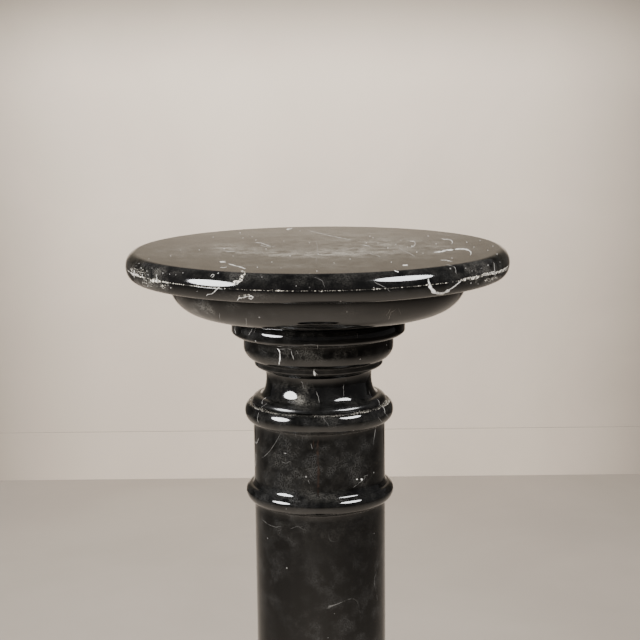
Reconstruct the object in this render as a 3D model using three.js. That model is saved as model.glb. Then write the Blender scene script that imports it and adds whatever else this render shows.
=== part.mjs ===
// Marble column pedestal: a round polished slab on turned mouldings, a ringed shaft and a round base.
// Millimetres, +Z up. The origin is the centre of the underside, where the pedestal meets the floor.
// Every stone is turned on a lathe, so each one is a profile of [radius, height] points, from its
// underside to its top, spun about its own axis.
import * as THREE from 'three';

// The whole pedestal
const PEDESTAL_HEIGHT = 1000;
const JOINT = 0.3; // hairline between two bedded stones

// Top slab, with a rounded edge that is widest a little below its middle
const SLAB_RADIUS = 150;
const SLAB_THICKNESS = 21;
const SLAB_WIDEST = 10.1; // height of the widest line above the slab's underside
const SLAB_UPPER_ROUND = 8.5; // how far the rounding reaches in over the top
const SLAB_LOWER_ROUND = 7; // and in under the slab

// Bed moulding under the slab: a quarter round that runs into a shallow curved soffit
const BED_HEIGHT = 30.9;
const BED_ROUND_RADIUS = 25.5;
const BED_ROUND_CENTRE = 91.7;
const BED_SOFFIT_SLOPE = 17; // degrees off level where the quarter round becomes the soffit
const BED_SOFFIT_INNER = 68.8;

// Capital, one stone: neck with a rounded foot, fillet, ovolo and torus, from the bottom up
const CAPITAL_HEIGHT = 69.6;
const FOOT_RADIUS = 53.3;
const FOOT_EDGE = 1; // straight edge under the foot's rounding
const FOOT_ROUND = { width: 5.8, height: 4.6 };
const NECK_RADIUS = 41.9;
const NECK_FLARE_HEIGHT = 14.2;
const NECK_WAIST_TOP = 20.4;
const NECK_COVE = { width: 2.7, height: 6.8 };
const FILLET_RADIUS = 51;
const FILLET_ROUND = { width: 12.7, height: 4.5, from: -60 };
const FILLET_WIDEST = 31.2;
const OVOLO_RADIUS = 59.5;
const OVOLO_ROUND = { width: 11.8, height: 11.3, from: -73.7 };
const OVOLO_WIDEST = 45.1;
const TORUS_RADIUS = 68.8;
const TORUS_LOWER_ROUND = { width: 13.9, height: 4.9, from: -70.7 };
const TORUS_LOWER_WIDEST = 57.7;
const TORUS_UPPER_ROUND = { width: 9.5, height: 8.5 };

// Shaft, one stone, with a ring at its top end, another below it and one at its foot
const SHAFT_RADIUS = 52.5;
const RING_RADIUS = 59.2;
const END_RING_LEDGE = 55.3; // flat ring beside the stone that it beds on
const END_RING_SHOULDER = 7.2; // from the ledge to the ring's widest line
const RING_BELLY = { width: 9.3, height: 9.1, to: 72 };
const RING_APOPHYGE = 1.4; // small cove that eases a ring's belly into the shaft
const MIDDLE_RING_DEPTH = 72; // widest line, below the shaft's top
const MIDDLE_RING_CROWN = { width: 4.9, height: 5.3 };
const MIDDLE_RING_COVE = 7; // height of the cove that runs from the crown up into the shaft

// Base, one stone: torus, fillet, scotia and bead, from the bottom up
const BASE_HEIGHT = 84;
const BASE_TORUS_RADIUS = 108;
const BASE_TORUS = { width: 14, height: 32 };
const BASE_FILLET_RADIUS = 89;
const BASE_FILLET_HEIGHT = 4;
const BASE_SCOTIA = { inner: 56, outer: 85, height: 33 };
const BASE_BEAD = { width: 4, height: 10 };

// Plinth, a plain round slab
const PLINTH_RADIUS = 140;
const PLINTH_HEIGHT = 35;
const PLINTH_EDGE_ROUND = 8;
const PLINTH_ARRIS = 1.5; // small bevel at the floor

// Polished black marble
const BLACK_MARBLE = 0x1b1a18;
const POLISH = 0.12; // roughness of the polished surface

// Sides of each stone's round, all in fours so that a corner falls on every axis
const SIDES = { plinth: 56, base: 40, shaft: 36, capital: 36, bed_moulding: 48, top_slab: 64 };
const SAME_POINT = 0.01; // profile points closer than this are one point

// What is left between the capital and the base is shaft
const STACKED = SLAB_THICKNESS + BED_HEIGHT + CAPITAL_HEIGHT + BASE_HEIGHT + PLINTH_HEIGHT;
const SHAFT_HEIGHT = PEDESTAL_HEIGHT - STACKED - 5 * JOINT;

// Points on an arc of an ellipse. Angles are in degrees, 0 pointing away from the axis and 90 up.
function arc(centreR, centreZ, halfWidth, halfHeight, from, to, steps) {
  const points = [];
  for (let i = 0; i <= steps; i += 1) {
    const angle = THREE.MathUtils.degToRad(from + ((to - from) * i) / steps);
    points.push([centreR + halfWidth * Math.cos(angle), centreZ + halfHeight * Math.sin(angle)]);
  }
  return points;
}

// The underside of a moulding, rounded up to its widest line
function roundUpTo(centreR, widestLine, round, steps) {
  return arc(centreR, widestLine, round.width, round.height, round.from, 0, steps);
}

// The same run of points seen from the other end of the piece
function flipped(points) {
  return points.map(([radius, height]) => [radius, -height]).reverse();
}

function shifted(points, up) {
  return points.map(([radius, height]) => [radius, height + up]);
}

// One turned stone: its profile, closed on the axis at both ends, spun about +Z
function turned(name, profile) {
  const underside = profile[0][1];
  const top = profile[profile.length - 1][1];
  const closed = [[0, underside], ...profile, [0, top]];
  const apart = closed.filter(([radius, height], i) => {
    if (i === 0) return true;
    return Math.hypot(radius - closed[i - 1][0], height - closed[i - 1][1]) > SAME_POINT;
  });
  const points = apart.map(([radius, height]) => new THREE.Vector2(radius, height));
  const geometry = new THREE.LatheGeometry(points, SIDES[name]);
  geometry.rotateX(Math.PI / 2);
  const material = new THREE.MeshStandardMaterial({ color: BLACK_MARBLE, roughness: POLISH, metalness: 0 });
  const mesh = new THREE.Mesh(geometry, material);
  mesh.name = name;
  return mesh;
}

function slabProfile() {
  const lowerCentre = SLAB_RADIUS - SLAB_LOWER_ROUND;
  const upperCentre = SLAB_RADIUS - SLAB_UPPER_ROUND;
  const upperHeight = SLAB_THICKNESS - SLAB_WIDEST;
  return [
    ...arc(lowerCentre, SLAB_WIDEST, SLAB_LOWER_ROUND, SLAB_WIDEST, -90, 0, 4),
    ...arc(upperCentre, SLAB_WIDEST, SLAB_UPPER_ROUND, upperHeight, 0, 90, 5),
  ];
}

// The soffit is an arc that is level at its inner edge and meets the quarter round at its slope,
// so the quarter round's centre follows from the soffit's end.
function bedProfile() {
  const slope = THREE.MathUtils.degToRad(BED_SOFFIT_SLOPE);
  const meet = BED_ROUND_CENTRE + BED_ROUND_RADIUS * Math.sin(slope);
  const soffitRadius = (meet - BED_SOFFIT_INNER) / Math.sin(slope);
  const soffitRise = soffitRadius * (1 - Math.cos(slope));
  const roundCentre = soffitRise + BED_ROUND_RADIUS * Math.cos(slope);
  const topAngle = THREE.MathUtils.radToDeg(Math.asin((BED_HEIGHT - roundCentre) / BED_ROUND_RADIUS));
  const soffitEnd = BED_SOFFIT_SLOPE - 90;
  return [
    ...arc(BED_SOFFIT_INNER, soffitRadius, soffitRadius, soffitRadius, -90, soffitEnd, 3),
    ...arc(BED_ROUND_CENTRE, roundCentre, BED_ROUND_RADIUS, BED_ROUND_RADIUS, soffitEnd, topAngle, 7),
  ];
}

function capitalProfile() {
  const footInner = FOOT_RADIUS - FOOT_ROUND.width;
  const footTop = FOOT_EDGE + FOOT_ROUND.height;
  const flareWidth = footInner - NECK_RADIUS;
  const waistBottom = footTop + NECK_FLARE_HEIGHT;
  const coveOuter = NECK_RADIUS + NECK_COVE.width;
  const filletInner = FILLET_RADIUS - FILLET_ROUND.width;
  const ovoloInner = OVOLO_RADIUS - OVOLO_ROUND.width;
  const torusLowerInner = TORUS_RADIUS - TORUS_LOWER_ROUND.width;
  const torusUpperInner = TORUS_RADIUS - TORUS_UPPER_ROUND.width;
  const torusUpperWidest = CAPITAL_HEIGHT - TORUS_UPPER_ROUND.height;
  return [
    [FOOT_RADIUS, 0],
    ...arc(footInner, FOOT_EDGE, FOOT_ROUND.width, FOOT_ROUND.height, 0, 90, 4),
    ...arc(footInner, waistBottom, flareWidth, NECK_FLARE_HEIGHT, -90, -180, 5),
    ...arc(coveOuter, NECK_WAIST_TOP, NECK_COVE.width, NECK_COVE.height, 180, 90, 3),
    ...roundUpTo(filletInner, FILLET_WIDEST, FILLET_ROUND, 3),
    ...roundUpTo(ovoloInner, OVOLO_WIDEST, OVOLO_ROUND, 5),
    ...roundUpTo(torusLowerInner, TORUS_LOWER_WIDEST, TORUS_LOWER_ROUND, 3),
    ...arc(torusUpperInner, torusUpperWidest, TORUS_UPPER_ROUND.width, TORUS_UPPER_ROUND.height, 0, 90, 5),
  ];
}

// Belly of a ring, from its widest line at height 0 up to the shaft, with the small cove that ends it
function ringBelly() {
  const inner = RING_RADIUS - RING_BELLY.width;
  const belly = arc(inner, 0, RING_BELLY.width, RING_BELLY.height, 0, RING_BELLY.to, 4);
  const bellyTop = belly[belly.length - 1][1];
  return [...belly, [SHAFT_RADIUS, bellyTop + RING_APOPHYGE]];
}

// Ring at the foot of the shaft, standing on height 0. The ring at the top is the same, upside down.
function endRing() {
  const shoulder = RING_RADIUS - END_RING_LEDGE;
  return [
    ...arc(END_RING_LEDGE, END_RING_SHOULDER, shoulder, END_RING_SHOULDER, -90, 0, 3),
    ...shifted(ringBelly(), END_RING_SHOULDER),
  ];
}

// Ring part way down the shaft, about its widest line: belly below, crown and a cove above
function middleRing() {
  const crownInner = RING_RADIUS - MIDDLE_RING_CROWN.width;
  const coveWidth = crownInner - SHAFT_RADIUS;
  const coveCentre = MIDDLE_RING_CROWN.height + MIDDLE_RING_COVE;
  return [
    ...flipped(ringBelly()),
    ...arc(crownInner, 0, MIDDLE_RING_CROWN.width, MIDDLE_RING_CROWN.height, 0, 90, 4),
    ...arc(crownInner, coveCentre, coveWidth, MIDDLE_RING_COVE, -90, -180, 3),
  ];
}

function shaftProfile() {
  return [
    ...endRing(),
    ...shifted(middleRing(), SHAFT_HEIGHT - MIDDLE_RING_DEPTH),
    ...shifted(flipped(endRing()), SHAFT_HEIGHT),
  ];
}

function baseProfile() {
  const torusInner = BASE_TORUS_RADIUS - BASE_TORUS.width;
  const torusHalf = BASE_TORUS.height / 2;
  const scotiaFoot = BASE_TORUS.height + BASE_FILLET_HEIGHT;
  const scotiaWidth = BASE_SCOTIA.outer - BASE_SCOTIA.inner;
  const scotiaTop = scotiaFoot + BASE_SCOTIA.height;
  const beadHalf = BASE_BEAD.height / 2;
  const beadMiddle = scotiaTop + beadHalf;
  return [
    ...arc(torusInner, torusHalf, BASE_TORUS.width, torusHalf, -90, 90, 8),
    [BASE_FILLET_RADIUS, BASE_TORUS.height],
    [BASE_FILLET_RADIUS, scotiaFoot],
    ...arc(BASE_SCOTIA.outer, scotiaTop, scotiaWidth, BASE_SCOTIA.height, -90, -180, 6),
    ...arc(BASE_SCOTIA.inner, beadMiddle, BASE_BEAD.width, beadHalf, -90, 90, 4),
    [FOOT_RADIUS, beadMiddle + beadHalf],
    [FOOT_RADIUS, BASE_HEIGHT],
  ];
}

function plinthProfile() {
  const roundInner = PLINTH_RADIUS - PLINTH_EDGE_ROUND;
  const roundCentre = PLINTH_HEIGHT - PLINTH_EDGE_ROUND;
  return [
    [PLINTH_RADIUS - PLINTH_ARRIS, 0],
    [PLINTH_RADIUS, PLINTH_ARRIS],
    ...arc(roundInner, roundCentre, PLINTH_EDGE_ROUND, PLINTH_EDGE_ROUND, 0, 90, 4),
  ];
}

// The stones from the floor up, each bedded on the one below
const stones = [
  { name: 'plinth', profile: plinthProfile(), height: PLINTH_HEIGHT },
  { name: 'base', profile: baseProfile(), height: BASE_HEIGHT },
  { name: 'shaft', profile: shaftProfile(), height: SHAFT_HEIGHT },
  { name: 'capital', profile: capitalProfile(), height: CAPITAL_HEIGHT },
  { name: 'bed_moulding', profile: bedProfile(), height: BED_HEIGHT },
  { name: 'top_slab', profile: slabProfile(), height: SLAB_THICKNESS },
];

const pedestal = new THREE.Group();
let bed = 0;
for (const { name, profile, height } of stones) {
  const stone = turned(name, profile);
  stone.position.z = bed;
  pedestal.add(stone);
  bed += height + JOINT;
}

export default pedestal;
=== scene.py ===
# Looks of the marble column pedestal: each stone turned finely in polished black marble.
# Metres in the scene. Sizes are named in millimetres, as in the part's source.
import math

import bpy
import numpy as np
from mathutils import Matrix, Vector, noise
from mathutils.bvhtree import BVHTree
from mathutils.interpolate import poly_3d_calc


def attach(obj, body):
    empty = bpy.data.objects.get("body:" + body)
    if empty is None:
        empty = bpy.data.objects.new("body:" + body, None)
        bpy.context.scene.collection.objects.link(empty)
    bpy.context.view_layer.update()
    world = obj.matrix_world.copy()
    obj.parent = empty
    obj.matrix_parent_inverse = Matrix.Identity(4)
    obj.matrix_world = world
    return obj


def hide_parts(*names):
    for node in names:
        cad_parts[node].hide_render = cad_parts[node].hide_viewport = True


MM = 0.001

# Stones, from the top down, with the same sizes as the solids
HEIGHT = 1000.0
JOINT = 0.3
SLAB_RADIUS, SLAB_THICKNESS, SLAB_WIDEST = 150.0, 21.0, 10.1
SLAB_UPPER_ROUND, SLAB_LOWER_ROUND = 8.5, 7.0
BED_HEIGHT = 30.9
BED_ROUND_RADIUS, BED_ROUND_CENTRE = 25.5, 91.7
BED_SOFFIT_SLOPE, BED_SOFFIT_INNER = 17.0, 68.8
CAPITAL_HEIGHT = 69.6
FOOT_RADIUS, FOOT_EDGE, FOOT_ROUND = 53.3, 1.0, (5.8, 4.6)
NECK_RADIUS, NECK_FLARE_HEIGHT, NECK_WAIST_TOP, NECK_COVE = 41.9, 14.2, 20.4, (2.7, 6.8)
FILLET_RADIUS, FILLET_ROUND, FILLET_FROM, FILLET_WIDEST = 51.0, (12.7, 4.5), -60, 31.2
OVOLO_RADIUS, OVOLO_ROUND, OVOLO_FROM, OVOLO_WIDEST = 59.5, (11.8, 11.3), -73.7, 45.1
TORUS_RADIUS, TORUS_LOWER_ROUND, TORUS_FROM = 68.8, (13.9, 4.9), -70.7
TORUS_LOWER_WIDEST, TORUS_UPPER_ROUND = 57.7, (9.5, 8.5)
SHAFT_RADIUS, RING_RADIUS = 52.5, 59.2
END_RING_LEDGE, END_RING_SHOULDER = 55.3, 7.2
RING_BELLY, RING_BELLY_TO, RING_APOPHYGE = (9.3, 9.1), 72, 1.4
MIDDLE_RING_DEPTH, MIDDLE_RING_CROWN, MIDDLE_RING_COVE = 72.0, (4.9, 5.3), 7.0
BASE_HEIGHT = 84.0
BASE_TORUS_RADIUS, BASE_TORUS = 108.0, (14.0, 32.0)
BASE_FILLET_RADIUS, BASE_FILLET_HEIGHT = 89.0, 4.0
BASE_SCOTIA_INNER, BASE_SCOTIA_OUTER, BASE_SCOTIA_HEIGHT = 56.0, 85.0, 33.0
BASE_BEAD = (4.0, 10.0)
PLINTH_RADIUS, PLINTH_HEIGHT, PLINTH_EDGE_ROUND, PLINTH_ARRIS = 140.0, 35.0, 8.0, 1.5
STACKED = SLAB_THICKNESS + BED_HEIGHT + CAPITAL_HEIGHT + BASE_HEIGHT + PLINTH_HEIGHT
SHAFT_HEIGHT = HEIGHT - STACKED - 5 * JOINT

# Finish of the turned edges
ARRIS = 0.35        # rounding of a sharp edge
ARRIS_TURN = 20     # an edge that turns more than this many degrees is rounded
ARRIS_POINTS = 5    # points of such a rounding
ARRIS_SHARE = 0.45  # it takes at most this share of the lines beside it
SAME_POINT = 0.02   # points nearer than this are one
STRAIGHT_STEP = 4   # spacing of the points along a straight
CURVE_STEP = 0.9    # and along a curve
FEWEST_STEPS = 4    # but a curve has at least this many steps
SEAM_DEPTH = 0.12   # fine line round the slab where it is widest
SEAM_HALF = 0.4     # half the width of that line, and the spacing of the rows of points beside it
SEAM_ROWS = 5       # how many of those rows are above it, and below it
TOP_COARSER = 4     # the rings of the slab's flat top have this many times fewer points

# Camera of the photograph: an 85 mm lens, a little above the slab
CAMERA_AT = (0.0014, -1.1768, 1.1522)       # metres
CAMERA_PITCH, CAMERA_ROLL = 10.127, -0.585  # degrees down, and about the view
LENS, SENSOR = 85, 36                       # mm
PICTURE = 640                               # points across and down

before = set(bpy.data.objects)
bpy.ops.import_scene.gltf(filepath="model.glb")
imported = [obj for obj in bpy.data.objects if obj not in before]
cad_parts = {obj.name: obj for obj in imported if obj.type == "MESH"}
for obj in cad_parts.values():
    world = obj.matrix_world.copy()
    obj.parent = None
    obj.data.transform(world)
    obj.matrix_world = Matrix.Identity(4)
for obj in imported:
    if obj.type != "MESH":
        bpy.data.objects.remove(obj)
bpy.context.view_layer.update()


def arc(centre, half, start, end):
    """Points of an ellipse arc, in degrees: 0 points away from the axis and 90 up."""
    turn = math.radians(end - start)
    steps = max(FEWEST_STEPS, round(abs(turn) * max(half) / CURVE_STEP))
    angles = math.radians(start) + turn * np.linspace(0, 1, steps + 1)
    return [(centre[0] + half[0] * math.cos(a), centre[1] + half[1] * math.sin(a)) for a in angles]


def flipped(points):
    """The same outline upside down."""
    return [(radius, -height) for radius, height in reversed(points)]


def shifted(points, up):
    """The same outline, higher up."""
    return [(radius, height + up) for radius, height in points]


def slab_edge(height):
    """Radius of the slab's rounded edge at a height above its underside."""
    if height < SLAB_WIDEST:
        half, drop = SLAB_LOWER_ROUND, (SLAB_WIDEST - height) / SLAB_WIDEST
    else:
        half, drop = SLAB_UPPER_ROUND, (height - SLAB_WIDEST) / (SLAB_THICKNESS - SLAB_WIDEST)
    return SLAB_RADIUS - half * (1 - math.sqrt(1 - min(drop, 1) ** 2))


def slab_profile():
    """The slab's edge. Rows of points lie close together beside the seam, to be worn later."""
    lower = SLAB_RADIUS - SLAB_LOWER_ROUND
    upper = SLAB_RADIUS - SLAB_UPPER_ROUND
    rise = SLAB_THICKNESS - SLAB_WIDEST
    below = arc((lower, SLAB_WIDEST), (SLAB_LOWER_ROUND, SLAB_WIDEST), -90, 0)
    above = arc((upper, SLAB_WIDEST), (SLAB_UPPER_ROUND, rise), 0, 90)
    fine = [SLAB_WIDEST + SEAM_HALF * k for k in range(-SEAM_ROWS, SEAM_ROWS + 1)]
    seam = [(slab_edge(height), height) for height in fine]
    below = [p for p in below if p[1] < fine[0] - SEAM_HALF / 2]
    above = [p for p in above if p[1] > fine[-1] + SEAM_HALF / 2]
    return below + seam + above


def bed_profile():
    """A shallow soffit that rises outwards, and a quarter round that meets it."""
    slope = math.radians(BED_SOFFIT_SLOPE)
    meet = BED_ROUND_CENTRE + BED_ROUND_RADIUS * math.sin(slope)
    soffit = (meet - BED_SOFFIT_INNER) / math.sin(slope)
    centre = soffit * (1 - math.cos(slope)) + BED_ROUND_RADIUS * math.cos(slope)
    top = math.degrees(math.asin((BED_HEIGHT - centre) / BED_ROUND_RADIUS))
    end = BED_SOFFIT_SLOPE - 90
    under = arc((BED_SOFFIT_INNER, soffit), (soffit, soffit), -90, end)
    quarter_round = arc((BED_ROUND_CENTRE, centre), (BED_ROUND_RADIUS, BED_ROUND_RADIUS), end, top)
    return under + quarter_round[1:]


def round_up_to(radius, widest, half, start):
    """The underside of a moulding, rounded up to its widest line."""
    return arc((radius - half[0], widest), half, start, 0)


def capital_profile():
    """From the foot up: rounded foot, flare, waist, cove, fillet, ovolo and torus."""
    foot = FOOT_RADIUS - FOOT_ROUND[0]
    waist = FOOT_EDGE + FOOT_ROUND[1] + NECK_FLARE_HEIGHT
    top = CAPITAL_HEIGHT - TORUS_UPPER_ROUND[1]
    return [
        (FOOT_RADIUS, 0),
        *arc((foot, FOOT_EDGE), FOOT_ROUND, 0, 90),
        *arc((foot, waist), (foot - NECK_RADIUS, NECK_FLARE_HEIGHT), -90, -180)[1:],
        *arc((NECK_RADIUS + NECK_COVE[0], NECK_WAIST_TOP), NECK_COVE, 180, 90),
        *round_up_to(FILLET_RADIUS, FILLET_WIDEST, FILLET_ROUND, FILLET_FROM),
        *round_up_to(OVOLO_RADIUS, OVOLO_WIDEST, OVOLO_ROUND, OVOLO_FROM),
        *round_up_to(TORUS_RADIUS, TORUS_LOWER_WIDEST, TORUS_LOWER_ROUND, TORUS_FROM),
        *arc((TORUS_RADIUS - TORUS_UPPER_ROUND[0], top), TORUS_UPPER_ROUND, 0, 90),
    ]


def ring_belly():
    """The rounded side of a ring, from its widest line up to the shaft."""
    belly = arc((RING_RADIUS - RING_BELLY[0], 0), RING_BELLY, 0, RING_BELLY_TO)
    return belly + [(SHAFT_RADIUS, belly[-1][1] + RING_APOPHYGE)]


def end_ring():
    """The ring at an end of the shaft, from the joint upwards."""
    shoulder = (RING_RADIUS - END_RING_LEDGE, END_RING_SHOULDER)
    lower = arc((END_RING_LEDGE, END_RING_SHOULDER), shoulder, -90, 0)
    return lower + shifted(ring_belly(), END_RING_SHOULDER)[1:]


def middle_ring():
    """The ring below the top one: its belly is under the widest line, and a cove is above its crown."""
    inner = RING_RADIUS - MIDDLE_RING_CROWN[0]
    cove = MIDDLE_RING_CROWN[1] + MIDDLE_RING_COVE
    crown = arc((inner, 0), MIDDLE_RING_CROWN, 0, 90)
    hollow = arc((inner, cove), (inner - SHAFT_RADIUS, MIDDLE_RING_COVE), -90, -180)
    return flipped(ring_belly()) + crown[1:] + hollow[1:]


def shaft_profile():
    """A ring at the foot, the plain drum, the middle ring and a ring at the top, upside down."""
    middle = shifted(middle_ring(), SHAFT_HEIGHT - MIDDLE_RING_DEPTH)
    return end_ring() + middle + shifted(flipped(end_ring()), SHAFT_HEIGHT)


def base_profile():
    """From the plinth up: torus, fillet, scotia, bead and a short collar."""
    half = BASE_TORUS[1] / 2
    scotia_foot = BASE_TORUS[1] + BASE_FILLET_HEIGHT
    scotia_top = scotia_foot + BASE_SCOTIA_HEIGHT
    scotia = (BASE_SCOTIA_OUTER - BASE_SCOTIA_INNER, BASE_SCOTIA_HEIGHT)
    bead = (BASE_BEAD[0], BASE_BEAD[1] / 2)
    return [
        *arc((BASE_TORUS_RADIUS - BASE_TORUS[0], half), (BASE_TORUS[0], half), -90, 90),
        (BASE_FILLET_RADIUS, BASE_TORUS[1]),
        (BASE_FILLET_RADIUS, scotia_foot),
        *arc((BASE_SCOTIA_OUTER, scotia_top), scotia, -90, -180),
        *arc((BASE_SCOTIA_INNER, scotia_top + bead[1]), bead, -90, 90),
        (FOOT_RADIUS, scotia_top + BASE_BEAD[1]),
        (FOOT_RADIUS, BASE_HEIGHT),
    ]


def plinth_profile():
    """A plain slab with a rounded upper edge."""
    edge = PLINTH_RADIUS - PLINTH_EDGE_ROUND
    top = PLINTH_HEIGHT - PLINTH_EDGE_ROUND
    return [
        (PLINTH_RADIUS - PLINTH_ARRIS, 0),
        (PLINTH_RADIUS, PLINTH_ARRIS),
        *arc((edge, top), (PLINTH_EDGE_ROUND, PLINTH_EDGE_ROUND), 0, 90),
    ]


def eased(points):
    """The same profile with its sharp edges rounded a little, as polishing leaves them."""
    spots = [np.array(points[0], float)]
    for point in points[1:]:
        if np.hypot(*(np.array(point) - spots[-1])) > SAME_POINT:
            spots.append(np.array(point, float))
    smooth = [spots[0]]
    for before, here, after in zip(spots, spots[1:], spots[2:]):
        back, ahead = before - here, after - here
        lengths = np.hypot(*back), np.hypot(*ahead)
        cosine = np.clip(-(back @ ahead) / (lengths[0] * lengths[1]), -1, 1)
        if math.degrees(math.acos(cosine)) < ARRIS_TURN:
            smooth.append(here)
            continue
        reach = min(ARRIS, ARRIS_SHARE * lengths[0], ARRIS_SHARE * lengths[1])
        start = here + back * reach / lengths[0]
        end = here + ahead * reach / lengths[1]
        for t in np.linspace(0, 1, ARRIS_POINTS):
            smooth.append((1 - t) ** 2 * start + 2 * t * (1 - t) * here + t * t * end)
    smooth.append(spots[-1])
    filled = [smooth[0]]
    for here, after in zip(smooth, smooth[1:]):
        pieces = math.ceil(np.hypot(*(after - here)) / STRAIGHT_STEP)
        filled.extend(here + (after - here) * k / pieces for k in range(1, pieces + 1))
    return np.array(filled)


def ring_faces(low, high, columns):
    """Quads between two rings of as many points, given by their first points."""
    ahead = [(k + 1) % columns for k in range(columns)]
    return [(low + k, low + ahead[k], high + ahead[k], high + k) for k in range(columns)]


def close_top(corners, faces, rim, around, radius, height, rings):
    """Closes a flat top inwards from its rim, whose first point is given.
    Its rings have fewer points than the rim. They are there to hold painted clouds."""
    outer, count = rim, len(around)
    coarse = around[::TOP_COARSER]
    for ring in range(rings, 0, -1):
        inner, reach = len(corners), radius * ring / (rings + 1)
        corners.extend((reach * x, reach * y, height) for x, y in coarse)
        if outer == rim:
            for k in range(len(coarse)):
                edge = [outer + (TOP_COARSER * k + step) % count for step in range(TOP_COARSER + 1)]
                faces.append((*edge, inner + (k + 1) % len(coarse), inner + k))
        else:
            faces.extend(ring_faces(outer, inner, count))
        outer, count = inner, len(coarse)
    middle = len(corners)
    corners.append((0, 0, height))
    faces.extend((middle, outer + k, outer + (k + 1) % count) for k in range(count))


def turned(name, profile, bed, columns, top_rings):
    """One stone turned on the axis. Its profile and bed are in mm."""
    points = eased(profile)
    angles = np.linspace(0, 2 * math.pi, columns, endpoint=False)
    around = np.stack([np.cos(angles), np.sin(angles)], axis=-1)
    corners = []
    for radius, height in points:
        corners.extend((radius * x, radius * y, height + bed) for x, y in around)
    faces = []
    rim = (len(points) - 1) * columns
    for row in range(0, rim, columns):
        faces.extend(ring_faces(row, row + columns, columns))
    curved = len(faces)
    middle = len(corners)
    corners.append((0, 0, points[0][1] + bed))
    faces.extend((middle, (k + 1) % columns, k) for k in range(columns))
    close_top(corners, faces, rim, around, points[-1][0], points[-1][1] + bed, top_rings)
    mesh = bpy.data.meshes.new(name)
    mesh.from_pydata((np.array(corners) * MM).tolist(), [], faces)
    mesh.shade_smooth()
    flat = mesh.attributes.new("sharp_face", "BOOLEAN", "FACE")
    flat.data.foreach_set("value", [k >= curved for k in range(len(faces))])
    piece = bpy.data.objects.new(name, mesh)
    bpy.context.scene.collection.objects.link(piece)
    return piece


class Nodes:
    """Shorthand for building a material from nodes."""

    # Sockets of a mix of colours, which share their names with those of other mixes
    MIX_SHARE, MIX_FIRST, MIX_SECOND, MIX_RESULT = 0, 6, 7, 2
    MIDDLE = 0.5    # middle value of a noise

    def __init__(self, material):
        material.use_nodes = True
        self.tree = material.node_tree
        self.shader = self.tree.nodes["Principled BSDF"]
        self.place = self.tree.nodes.new("ShaderNodeTexCoord").outputs["Object"]

    def put(self, node, socket, value):
        """Links a socket to another's output, or gives it a value of its own."""
        if isinstance(value, bpy.types.NodeSocket):
            self.tree.links.new(value, node.inputs[socket])
        elif value is not None:
            node.inputs[socket].default_value = value

    def math(self, operation, first, second=None, clamp=False):
        node = self.tree.nodes.new("ShaderNodeMath")
        node.operation = operation
        node.use_clamp = clamp
        self.put(node, 0, first)
        self.put(node, 1, second)
        return node.outputs[0]

    def times(self, *factors):
        """The product of two or more factors."""
        product = factors[0]
        for factor in factors[1:]:
            product = self.math("MULTIPLY", product, factor)
        return product

    def noise(self, scale, detail, roughness, distortion=0.0, place=None):
        """Noise of that scale per metre, with that many finer octaves."""
        node = self.tree.nodes.new("ShaderNodeTexNoise")
        self.put(node, "Vector", place or self.place)
        self.put(node, "Scale", scale)
        self.put(node, "Detail", detail)
        self.put(node, "Roughness", roughness)
        self.put(node, "Distortion", distortion)
        return node.outputs["Fac"]

    def moved(self, offset):
        """The same place, shifted, so that two patterns of one scale differ."""
        node = self.tree.nodes.new("ShaderNodeVectorMath")
        node.operation = "ADD"
        self.put(node, 0, self.place)
        self.put(node, 1, offset)
        return node.outputs[0]

    def band(self, value, low, high):
        """0 below low, 1 above high, smooth between. low may be the larger."""
        node = self.tree.nodes.new("ShaderNodeMapRange")
        node.interpolation_type = "SMOOTHSTEP"
        self.put(node, "Value", value)
        self.put(node, "From Min", low)
        self.put(node, "From Max", high)
        return node.outputs["Result"]

    def mix(self, share, first, second):
        """The first colour where the share is 0, and the second where it is 1."""
        node = self.tree.nodes.new("ShaderNodeMix")
        node.data_type = "RGBA"
        self.put(node, self.MIX_SHARE, share)
        self.put(node, self.MIX_FIRST, first)
        self.put(node, self.MIX_SECOND, second)
        return node.outputs[self.MIX_RESULT]

    def painted(self, name):
        """What is painted on the mesh under that name, or 0 where nothing is."""
        node = self.tree.nodes.new("ShaderNodeAttribute")
        node.attribute_name = name
        return node.outputs["Fac"]

    def threads(self, scale, width, offset, distortion):
        """Thin winding lines, where a noise crosses its middle value."""
        value = self.noise(scale, 2, 0.45, distortion, self.moved(offset))
        off_middle = self.math("ABSOLUTE", self.math("SUBTRACT", value, self.MIDDLE))
        return self.band(off_middle, width, 0.0)


# Colours of the marble, as linear light
GROUND = (0.0011, 0.0011, 0.0011, 1)
CLOUD = (0.0035, 0.0034, 0.0032, 1)
FROST = (0.020, 0.0196, 0.0188, 1)
HAZE_AND_SHEEN = (0.25, 0.234, 0.205, 1)
VEIN = (0.70, 0.675, 0.63, 1)
CRUSHED = (0.58, 0.535, 0.46, 1)
IRON = (0.018, 0.0105, 0.0075, 1)
# Roughness of its polish, and what smears, worn edges and crumbled places add to it
POLISHED, SMEARED, DULLED, CRUMBLED = 0.05, 0.05, 0.15, 0.5
SPECULAR_LEVEL, REFRACTIVE_INDEX = 0.44, 1.5
BUMP_STRENGTH, BUMP_DEPTH, GRAIN_SHARE = 0.06, 0.0004, 0.04
# Hair veins: pattern's scale per metre, thinness, shift, bend and strength
HAIR_VEINS = (
    (4.0, 0.0012, (0.3, 1.9, 4.2), 0.2, 0.30),
    (13, 0.0030, (7.7, 2.3, 0.6), 0.2, 0.10),
)
# Natural specks: cells per metre, where a speck ends and is full, tints of the cells that have one, strength
SPECK_CELLS, SPECK_EDGE, SPECK_CHOICE, SPECK_STRENGTH = 190.0, (0.17, 0.05), (0.935, 0.96), 0.24
CRUMBS_SPARSER = 0.12   # how much rarer crumbs are where the painted chips are weak


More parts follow.
